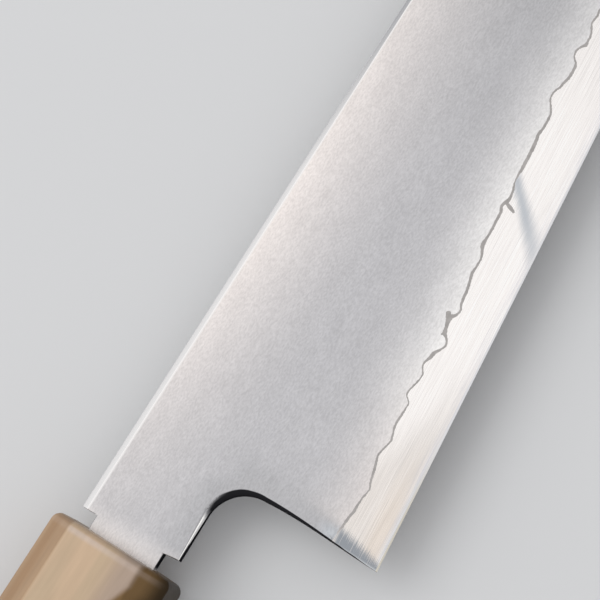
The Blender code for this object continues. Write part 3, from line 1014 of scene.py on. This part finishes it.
# A noise is given by its detail and roughness
grains = {
    "specks": (3.0, 0.7),
    "clouds": (4.0, 0.6),
    "fineLines": (4.0, 0.75),
    "boldLines": (1.0, 0.5),
    "boldScale": 0.45,
    "boldShow": (0.6, 0.72),
    "figure": {"Distortion": 5.0, "Detail": 2.0, "Detail Scale": 0.7, "Detail Roughness": 0.5},
    "figureRun": {"Location": (0.0, 0.031, 0.023), "Scale": (0.045, 1.0, 1.0)},
    "fibres": (3.0, 0.7),
    "poresShow": (0.36, 0.3),
}


def fineGrainGroup():
    # Even satin: fine specks over soft clouds
    scales = {"Speck Scale": 5000.0, "Cloud Scale": 300.0}
    group, given, result = newGroup("fineGrain", scales, ("Specks", "Clouds"))
    feed(result["Specks"], addNoise(group, given["Place"], given["Speck Scale"], *grains["specks"]))
    feed(result["Clouds"], addNoise(group, given["Place"], given["Cloud Scale"], *grains["clouds"]))
    return group


def scratchGroup():
    # Straight stone scratches along one direction: many faint ones and a few that stand out
    values = {"Fine": 600.0, "Length": 0.02, "Turn": 0.0}
    group, given, result = newGroup("stoneScratches", values, ("Fine Lines", "Bold Lines"))
    turning = {"Vector": given["Place"], "Angle": given["Turn"]}
    turned = addNode(group, "ShaderNodeVectorRotate", turning, rotation_type="Z_AXIS").outputs[0]
    lengths = addNode(group, "ShaderNodeCombineXYZ", {"X": given["Length"], "Y": 1.0, "Z": 0.0}).outputs[0]
    factors = {0: turned, 1: lengths}
    stretched = addNode(group, "ShaderNodeVectorMath", factors, operation="MULTIPLY").outputs[0]
    bold = addNoise(group, stretched, times(given["Fine"], grains["boldScale"]), *grains["boldLines"])
    feed(result["Fine Lines"], addNoise(group, stretched, given["Fine"], *grains["fineLines"]))
    feed(result["Bold Lines"], ramp(bold, *grains["boldShow"]))
    return group


def grainGroup():
    # Wood: long figure, fine fibres and short pores
    scales = {"Figure": 90.0, "Fibre": 900.0}
    group, given, result = newGroup("woodGrain", scales, ("Figure", "Fibres", "Pores"))
    running = {"Vector": given["Place"], **grains["figureRun"]}
    stretched = addNode(group, "ShaderNodeMapping", running).outputs[0]
    figure = addNode(
        group, "ShaderNodeTexWave", {"Vector": stretched, "Scale": given["Figure"], **grains["figure"]},
        wave_type="RINGS", rings_direction="X", wave_profile="SAW",
    )
    fibres = addNoise(group, stretched, given["Fibre"], *grains["fibres"])
    feed(result["Figure"], figure.outputs["Fac"])
    feed(result["Fibres"], fibres)
    feed(result["Pores"], ramp(fibres, *grains["poresShow"]))
    return group


def addGroup(tree, group, place, values):
    return addNode(tree, "ShaderNodeGroup", {"Place": place, **values}, node_tree=group).outputs


grainOfMetal = fineGrainGroup()
grainOfStone = scratchGroup()
grainOfWood = grainGroup()


def newMaterial(name, roughness, metallic, specular=None):
    material = bpy.data.materials.new(name)
    material.use_nodes = True
    shader = material.node_tree.nodes["Principled BSDF"]
    shader.inputs["Roughness"].default_value = roughness
    shader.inputs["Metallic"].default_value = metallic
    if specular is not None:
        shader.inputs["Specular IOR Level"].default_value = specular
    return material, material.node_tree, shader.inputs


def addBump(shader, height, strength, distance):
    inputs = {"Height": height, "Strength": strength, "Distance": distance * mm}
    feed(shader["Normal"], addNode(treeOf(height), "ShaderNodeBump", inputs).outputs["Normal"])


def objectPlace(tree):
    return addNode(tree, "ShaderNodeTexCoord").outputs["Object"]


def bladePlace(tree):
    # The blade's map, and from it the mm along the edge from the heel and the mm over the edge
    place = addNode(tree, "ShaderNodeUVMap", uv_map="alongBlade").outputs[0]
    parts = addNode(tree, "ShaderNodeSeparateXYZ", {0: place}).outputs
    return place, times(parts["X"], mapSpan), times(parts["Y"], mapSpan)


def mark(tree, name):
    return addNode(tree, "ShaderNodeAttribute", attribute_name=name).outputs["Fac"]


# In the materials' values a fade or ramp is the two places between which it runs, then its two strengths
# where they aren't 0 and 1. On the blade places are mm along the edge from the heel, over the edge, under
# the spine or above the weld line, and on the ferrule mm from its front and from its centre line
cladding = {
    "satin": (0.545, 0.54, 0.555),
    "satinDim": (0.485, 0.483, 0.495),
    "farShadeAlong": (62.0, 105.0),
    "sheen": (0.95, 0.88, 0.84),
    "sheenUnder": (22.0, 0.0),
    "sheenAlong": ((-25.0, 45.0, 0.2, 1.0), (45.0, 125.0, 1.0, 0.45)),
    "lowStarts": (-2.0, 1.0, 13.5, 17.0),
    "lowReach": (0.0, 4.0),
    "lowAlong": (8.0, 2.0),
    "glow": (0.90, 0.885, 0.87),
    "glowHeel": (0.775, 0.725, 0.70),
    "glowHeelAlong": (12.0, 36.0),
    "glowAbove": (11.0, 0.0),
    "glowAlong": ((16.0, 34.0, 0.8, 1.0), (70.0, 100.0, 1.0, 0.6)),
    "glowStarts": (1.8, 4.5),
    "heelTint": (0.56, 0.60, 0.64),
    "tintAlong": (3.4, 1.4, 0.0, 0.5),
    "tintAbove": (4.2, 1.4),
    "paintedLightByFerrule": (0.86, 0.82, 0.80),
    "ferruleAlong": (-13.5, -19.0, 0.0, 0.8),
    "grainStretch": (0.45, 1.0, 1.0),
    "grain": {"Speck Scale": 3400.0, "Cloud Scale": 420.0},
    "specks": (0.35, 0.65, 0.9, 1.1),
    "clouds": (0.35, 0.65, 0.97, 1.03),
    "paintedDark": (0.016, 0.016, 0.018),
    "paintedHighlight": (0.82, 0.81, 0.805),
    "spineFar": (0.42, 0.425, 0.44),
    "spineAlong": (47.0, 99.0),
    "neckHighlight": (1.0, 0.985, 0.96),
    "neckUnder": (10.0, 12.0),
    "brightLine": (0.95, 0.93, 0.915),
    "brightShare": 0.8,
    "greyShare": 0.3,
    "roughness": 0.32,
    "roughSpecks": (0.3, 0.7, 0.28, 0.36),
    "roughPolished": (0.0, 1.0, 1.0, 0.7),
    "bump": (0.3, 0.015),
}


def claddingMaterial():
    material, tree, shader = newMaterial("satinCladding", cladding["roughness"], 1.0, 0.0)
    drawing = {"Vector": objectPlace(tree), "Scale": cladding["grainStretch"]}
    drawn = addNode(tree, "ShaderNodeMapping", drawing).outputs[0]
    grain = addGroup(tree, grainOfMetal, drawn, cladding["grain"])
    along = bladePlace(tree)[1]
    under = times(mark(tree, "underSpine"), markSpan)
    above = times(mark(tree, "aboveLine"), markSpan)
    bright, dark = mark(tree, "paintedHighlightOnPolish"), mark(tree, "paintedDarkOnPolish")
    # a painted sheen below the spine
    sheen = ramp(under, *cladding["sheenUnder"])
    sheen = times(sheen, sheen, *(fade(along, *places) for places in cladding["sheenAlong"]))
    # painted shade on the satin far along the blade, where the light falls off
    satin = addMix(ramp(along, *cladding["farShadeAlong"]), cladding["satin"], cladding["satinDim"])
    colour = addMix(sheen, satin, cladding["sheen"])
    # a little darker along the choil, the heel and the neck's lower edge
    low = addMath("SUBTRACT", under, ramp(along, *cladding["lowStarts"]))
    low = times(fade(along, *cladding["lowAlong"]), fade(low, *cladding["lowReach"]))
    colour = addMix(low, colour, cladding["satinDim"])
    # brighter toward the weld line, bluish where that ends at the heel
    glow = ramp(above, *cladding["glowAbove"])
    glow = times(glow, glow, *(ramp(along, *places) for places in cladding["glowAlong"]))
    glow = times(glow, fade(along, *cladding["glowStarts"]))
    glowColour = addMix(ramp(along, *cladding["glowHeelAlong"]), cladding["glowHeel"], cladding["glow"])
    colour = addMix(glow, colour, glowColour)
    tint = times(fade(along, *cladding["tintAlong"]), fade(above, *cladding["tintAbove"]))
    colour = addMix(tint, colour, cladding["heelTint"])
    # painted lighter beside the ferrule, against the shade and reflection that the ferrule throws on the
    # steel
    colour = addMix(fade(along, *cladding["ferruleAlong"]), colour, cladding["paintedLightByFerrule"])
    specks = ramp(grain["Specks"], *cladding["specks"])
    colour = addTone(colour, times(specks, ramp(grain["Clouds"], *cladding["clouds"])))
    # the polished spine and neck with a painted highlight, darker far along the spine and whitest on the
    # neck
    cut = addMix(fade(along, *cladding["spineAlong"]), cladding["paintedHighlight"], cladding["spineFar"])
    cut = addMix(ramp(under, *cladding["neckUnder"]), cut, cladding["neckHighlight"])
    colour = addMix(bright, colour, cut)
    # a thin painted highlight line under the eased spine and a thin painted shade line beside the rounded
    # neck
    thin = times(mark(tree, "brightLine"), cladding["brightShare"])
    colour = addMix(thin, colour, cladding["brightLine"])
    thin = times(mark(tree, "greyLine"), cladding["greyShare"])
    colour = addMix(thin, colour, cladding["paintedDark"])
    # a painted dark reflection on the polished choil and cut walls, which are left unmetallic so that it
    # shows
    feed(shader["Base Color"], addMix(dark, colour, cladding["paintedDark"]))
    feed(shader["Metallic"], addMath("SUBTRACT", 1.0, dark))
    smoother = ramp(addMath("MAXIMUM", dark, bright), *cladding["roughPolished"])
    feed(shader["Roughness"], times(ramp(grain["Specks"], *cladding["roughSpecks"]), smoother))
    addBump(shader, grain["Specks"], *cladding["bump"])
    return material


core = {
    "steel": (0.97, 0.935, 0.91),
    "heel": (0.81, 0.77, 0.735),
    "heelLean": (4.5, 2.2),  # over the edge where the lean is nought, and mm along for each mm over
    "heelAlong": (16.0, 33.0),
    "warm": (0.775, 0.70, 0.63),
    "warmOver": ((0.4, 1.4), (5.4, 2.6, 0.2, 1.0)),
    "warmAlong": (26.0, 6.0),
    "cool": (0.65, 0.67, 0.70),
    "coolOver": (1.1, 0.4, 0.0, 0.6),
    "coolAlong": (34.0, 12.0),
    "coolStarts": (0.8, 4.0, 0.1, 1.0),
    "boldAlong": (36.0, 20.0),
    "boldOver": (1.6, 3.0, 0.0, 0.4),
    "fine": {"Fine": 1000.0, "Length": 0.008},
    "cross": {"Fine": 600.0, "Length": 0.014, "Turn": 0.05},
    "broad": {"Fine": 380.0, "Length": 0.012, "Turn": 0.03},
    "crossShare": 0.5,
    "lineTone": (0.6, 0.9, 0.89, 1.09),
    "farTone": (80.0, 100.0, 1.0, 0.93),
    "broadTone": (0.38, 0.62, 0.95, 1.05),
    "edgeLines": (0.70, 0.69, 0.73),
    "edgeLinesOver": (2.0, 0.7),
    "edgeLinesFine": (0.52, 0.36),
    "feather": (0.75, 5.0),
    "paintedReflection": (0.51, 0.54, 0.575),
    "reflectionLean": 1.18,
    "reflectionAlong": 58.8,
    "reflectionFeather": 0.6,
    "reflectionHalf": (0.0, 7.0, 4.4, 2.6),
    "reflectionOver": (0.2, 4.0, 0.6, 0.92),
    "slate": (0.31, 0.332, 0.36),
    "slateRim": (0.50, 0.52, 0.54),
    "slateRimAlong": (0.1, 0.5),
    "slateLean": 0.2,
    "slateAlong": (2.05, 0.4),
    "slateOver": (8.8, 8.1, 0.4, 1.0),
    "slateBold": (0.0, 1.0, 1.0, 0.45),
    "bevel": (0.85, 0.85, 0.86),
    "bevelHeel": (0.72, 0.68, 0.59),
    "bevelHeelAlong": (8.0, 26.0),
    "bevelOver": (blade["microBevel"] + 0.04, blade["microBevel"] - 0.02),
    "roughness": 0.22,
    "roughLines": (0.55, 0.95, 0.18, 0.30),
    "bump": (0.15, 0.008),
}


def coreMaterial():
    material, tree, shader = newMaterial("stonedCore", core["roughness"], 1.0, 0.0)
    place, along, over = bladePlace(tree)
    stone = addGroup(tree, grainOfStone, place, core["fine"])
    cross = addGroup(tree, grainOfStone, place, core["cross"])
    broad = addGroup(tree, grainOfStone, place, core["broad"])
    crossing = times(cross["Fine Lines"], core["crossShare"])
    lines = addMath("ADD", stone["Fine Lines"], crossing)
    # painted shade over the heel, where the light falls off, with a warm band beside the edge and a cool
    # one under it
    level, lean = core["heelLean"]
    slant = addMath("ADD", along, times(addMath("SUBTRACT", over, level), lean))
    colour = addMix(fade(slant, *core["heelAlong"]), core["heel"], core["steel"])
    warm = times(*(fade(over, *places) for places in core["warmOver"]))
    warm = times(warm, fade(along, *core["warmAlong"]))
    colour = addMix(warm, colour, core["warm"])
    cool = times(fade(along, *core["coolAlong"]), fade(over, *core["coolOver"]))
    cool = times(cool, ramp(along, *core["coolStarts"]))
    colour = addMix(cool, colour, core["cool"])
    bold = times(fade(along, *core["boldAlong"]), ramp(over, *core["boldOver"]))
    colour = addMix(times(bold, stone["Bold Lines"]), colour, core["steel"])
    # the lines' tone, with painted shade far along the blade where the light falls off
    tone = times(ramp(lines, *core["lineTone"]), ramp(along, *core["farTone"]))
    tone = times(tone, ramp(broad["Fine Lines"], *core["broadTone"]))
    colour = addTone(colour, tone)
    beside = fade(over, *core["edgeLinesOver"])
    beside = times(beside, ramp(stone["Fine Lines"], *core["edgeLinesFine"]))
    colour = addMix(beside, colour, core["edgeLines"])
    # a soft slanting painted reflection of something dark, its border feathered by the scratches
    middle, strength = core["feather"]
    feather = times(addMath("SUBTRACT", lines, middle), strength)
    off = addMath("SUBTRACT", along, times(over, core["reflectionLean"]))
    off = addMath("ABSOLUTE", addMath("SUBTRACT", off, core["reflectionAlong"]))
    off = addMath("ADD", off, times(feather, core["reflectionFeather"]))
    off = addMath("DIVIDE", off, ramp(over, *core["reflectionHalf"]))
    paintedReflection = times(fade(off, 1.0, 0.0), ramp(over, *core["reflectionOver"]))
    colour = addMix(paintedReflection, colour, core["paintedReflection"])
    # a dark slate-blue painted reflection behind the heel, crossed by scratches
    end = addMath("ADD", along, feather)
    end = addMath("SUBTRACT", end, times(over, core["slateLean"]))
    patch = times(fade(end, *core["slateAlong"]), fade(over, *core["slateOver"]))
    patch = times(patch, ramp(stone["Bold Lines"], *core["slateBold"]))
    slate = addMix(fade(along, *core["slateRimAlong"]), core["slateRim"], core["slate"])
    colour = addMix(patch, colour, slate)
    bevel = addMix(fade(along, *core["bevelHeelAlong"]), core["bevelHeel"], core["bevel"])
    colour = addMix(ramp(over, *core["bevelOver"]), colour, bevel)
    # a painted highlight on the polished spine and neck, and a painted dark reflection on the polished cut
    # walls
    colour = addMix(mark(tree, "paintedHighlightOnPolish"), colour, cladding["paintedHighlight"])
    dark = mark(tree, "paintedDarkOnPolish")
    feed(shader["Base Color"], addMix(dark, colour, cladding["paintedDark"]))
    feed(shader["Metallic"], addMath("SUBTRACT", 1.0, dark))
    feed(shader["Roughness"], ramp(lines, *core["roughLines"]))
    addBump(shader, lines, *core["bump"])
    return material


seam = {
    "roughness": 0.5,
    "dark": (0.396, 0.3784, 0.3652),
    "light": (0.504, 0.4816, 0.4648),
    "clouds": (0.3, 0.7),
    "end": (0.66, 0.63, 0.61),
    "endAlong": (4.2, 1.6, 0.0, 0.6),
    "grain": {"Speck Scale": 3500.0, "Cloud Scale": 900.0},
    "bump": (0.4, 0.01),
}


def weldMaterial():
    material, tree, shader = newMaterial("weldSeam", seam["roughness"], 1.0)
    grain = addGroup(tree, grainOfMetal, objectPlace(tree), seam["grain"])
    colour = addMix(ramp(grain["Clouds"], *seam["clouds"]), seam["dark"], seam["light"])
    colour = addMix(ramp(bladePlace(tree)[1], *seam["endAlong"]), colour, seam["end"])
    feed(shader["Base Color"], colour)
    addBump(shader, grain["Specks"], *seam["bump"])
    return material


horn = {
    "stretch": (0.1, 1.0, 1.0),
    "bands": (210.0, 1.0, 0.4),
    "fine": (1100.0, 2.0, 0.5),
    "cream": (0.58, 0.425, 0.29),
    "olive": (0.52, 0.395, 0.27),
    "oliveBands": (0.4, 0.62),
    "lilac": (0.41, 0.315, 0.25),
    "lilacDown": (-0.6, -5.6),
    "sway": (0.3, 0.7, -0.8, 0.8),
    "tan": (0.42, 0.29, 0.185),
    "tanDark": (0.355, 0.225, 0.13),
    "tanBands": (0.35, 0.65),
    "tanUp": (6.7, 7.2),
    "frontHighlight": (0.62, 0.53, 0.48),
    "highlightBack": ((-2.2, -1.4), (-0.7, -1.1)),
    "highlightUp": (6.3, 7.3, 1.0, 0.2),
    "highlightShare": (-7.2, 2.0, 0.15, 0.5),
    "wedgeBack": (-4.2, -14.0, 0.0, 3.9),
    "brown": (0.19, 0.115, 0.05),
    "brownDown": (-6.4, -7.7),
    "black": (0.035, 0.022, 0.010),
    "blackDown": (-8.0, -11.6),
    "streaks": (0.3, 0.7, 0.96, 1.04),
    "endShade": (-1.0, -0.4, 1.0, 0.86),
    "roughness": 0.36,
    "roughStreaks": (0.3, 0.7, 0.33, 0.40),
    "shine": 0.1,
    "bump": (0.1, 0.02),
}


def hornMaterial():
    # Pale horn in soft bands along its length, tan over the spine and running to brown under the edge side
    material, tree, shader = newMaterial("buffaloHorn", horn["roughness"], 0.0, horn["shine"])
    moved = {"Vector": objectPlace(tree), "Location": -start}
    centred = addNode(tree, "ShaderNodeMapping", moved).outputs[0]
    drawn = {"Vector": centred, "Scale": horn["stretch"]}
    stretched = addNode(tree, "ShaderNodeMapping", drawn).outputs[0]
    bands = addNoise(tree, stretched, *horn["bands"])
    fine = addNoise(tree, stretched, *horn["fine"])
    parts = addNode(tree, "ShaderNodeSeparateXYZ", {0: centred}).outputs
    x, y = (addMath("DIVIDE", parts[axis], mm) for axis in "XY")
    colour = addMix(fade(bands, *horn["oliveBands"]), horn["cream"], horn["olive"])
    swaying = addMath("ADD", y, ramp(bands, *horn["sway"]))
    colour = addMix(fade(swaying, *horn["lilacDown"]), colour, horn["lilac"])
    tan = addMix(fade(bands, *horn["tanBands"]), horn["tan"], horn["tanDark"])
    colour = addMix(ramp(y, *horn["tanUp"]), colour, tan)
    wedge = addMath("SUBTRACT", y, ramp(x, *horn["wedgeBack"]))
    colour = addMix(fade(wedge, *horn["brownDown"]), colour, horn["brown"])
    # the rounded front corner carries a painted highlight where it starts, and is darker below
    frontHighlight = times(*(fade(x, *places) for places in horn["highlightBack"]))
    frontHighlight = times(frontHighlight, fade(y, *horn["highlightUp"]), ramp(y, *horn["highlightShare"]))
    colour = addMix(frontHighlight, colour, horn["frontHighlight"])
    colour = addMix(fade(wedge, *horn["blackDown"]), colour, horn["black"])
    # the streaks, with painted shade toward the rounded front end
    streaks = times(ramp(fine, *horn["streaks"]), fade(x, *horn["endShade"]))
    feed(shader["Base Color"], addTone(colour, streaks))
    feed(shader["Roughness"], ramp(fine, *horn["roughStreaks"]))
    addBump(shader, fine, *horn["bump"])
    return material


wood = {
    "grip": ((0.60, 0.43, 0.27), (0.46, 0.31, 0.18), {"Figure": 130.0}),
    "dowel": ((0.50, 0.34, 0.20), (0.36, 0.23, 0.12), {"Figure": 200.0}),
    "roughness": 0.6,
    "figurePower": 2.5,
    "fibres": (0.3, 0.7, 0.92, 1.08),
    "pore": (0.30, 0.19, 0.10),
    "poreShare": 0.5,
    "roughFibres": (0.3, 0.7, 0.52, 0.68),
    "bump": (0.25, 0.04),
}


def woodMaterial(name, light, dark, figure):
    material, tree, shader = newMaterial(name, wood["roughness"], 0.0)
    grain = addGroup(tree, grainOfWood, objectPlace(tree), figure)
    colour = addMix(addMath("POWER", grain["Figure"], wood["figurePower"]), light, dark)
    colour = addTone(colour, ramp(grain["Fibres"], *wood["fibres"]))
    colour = addMix(times(grain["Pores"], wood["poreShare"]), colour, wood["pore"])
    feed(shader["Base Color"], colour)
    feed(shader["Roughness"], ramp(grain["Fibres"], *wood["roughFibres"]))
    addBump(shader, grain["Fibres"], *wood["bump"])
    return material


resin = {
    "roughness": 0.4,
    "dark": (0.48, 0.34, 0.14),
    "light": (0.60, 0.46, 0.24),
    "clouds": (0.3, 0.7),
    "grain": {"Speck Scale": 1500.0, "Cloud Scale": 250.0},
    "bump": (0.2, 0.05),
}


def resinMaterial():
    material, tree, shader = newMaterial("beddingResin", resin["roughness"], 0.0)
    grain = addGroup(tree, grainOfMetal, objectPlace(tree), resin["grain"])
    colour = addMix(ramp(grain["Clouds"], *resin["clouds"]), resin["dark"], resin["light"])
    feed(shader["Base Color"], colour)
    addBump(shader, grain["Specks"], *resin["bump"])
    return material


satinSteel = claddingMaterial()
weldSteel = weldMaterial()
for piece, material in (
    (rightCladding, satinSteel), (leftCladding, satinSteel), (coreLayer, coreMaterial()),
    (rightWeld, weldSteel), (leftWeld, weldSteel), (ferrule, hornMaterial()),
    (body, woodMaterial("handleWood", *wood["grip"])),
    (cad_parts["handle_dowel"], woodMaterial("dowelWood", *wood["dowel"])),
    (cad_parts["tang_bedding"], resinMaterial()),
):
    if piece.data.materials:
        piece.material_slots[0].material = material
    else:
        piece.data.materials.append(material)
print("materials placed")

for piece, node, slot in (
    (rightCladding, "cladding_right", "cladding_right"),
    (leftCladding, "cladding_left", "cladding_left"),
    (coreLayer, "core_steel", "core_steel"),
    (rightWeld, None, "core_steel"),
    (leftWeld, None, "core_steel"),
    (ferrule, "horn_ferrule", "horn_ferrule"),
    (body, "handle_body", "handle_body"),
):
    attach(piece, "root")
    if node:
        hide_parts(node)

# Studio: pale floor, soft dome brightest overhead, one broad lamp that is left out of the reflections
studio = {
    "floor": (0.66, 0.665, 0.67),
    "floorRoughness": 0.9,
    "floorShine": 0.1,
    "floorSize": 40.0,
    "domeLow": (0.34, 0.35, 0.37),
    "domeHigh": (1.0, 0.995, 1.0),
    "domeToward": (-0.25, 0.35, 0.90),
    "domeSpread": (-0.35, 1.0),
    "lampPlace": (-0.15, 0.75, 1.15),
    "lampSize": 0.9,
    "lampPower": 4.0,
}
bm = bmesh.new()
bmesh.ops.create_grid(bm, x_segments=1, y_segments=1, size=studio["floorSize"] / 2)
floor = newObject("floor", bm)
paleFloor, tree, shader = newMaterial("paleFloor", studio["floorRoughness"], 0.0, studio["floorShine"])
feed(shader["Base Color"], studio["floor"])
floor.data.materials.append(paleFloor)

world = bpy.data.worlds.new("softDome")
bpy.context.scene.world = world
world.use_nodes = True
tree = world.node_tree
toward = Vector(studio["domeToward"]).normalized()
directions = {0: addNode(tree, "ShaderNodeTexCoord").outputs["Generated"], 1: toward}
facing = addNode(tree, "ShaderNodeVectorMath", directions, operation="DOT_PRODUCT").outputs["Value"]
colour = addMix(fade(facing, *studio["domeSpread"]), studio["domeLow"], studio["domeHigh"])
feed(tree.nodes["Background"].inputs["Color"], colour)

lampData = bpy.data.lights.new("broadLamp", "AREA")
lampData.shape = "SQUARE"
lampData.size = studio["lampSize"]
lampData.energy = studio["lampPower"]
lamp = bpy.data.objects.new("broadLamp", lampData)
lamp.location = studio["lampPlace"]
lamp.rotation_euler = Vector(studio["lampPlace"]).to_track_quat("Z", "Y").to_euler()
lamp.visible_camera = False
lamp.visible_glossy = False
bpy.context.scene.collection.objects.link(lamp)
bpy.context.scene.view_settings.view_transform = "Standard"
print("studio lit")
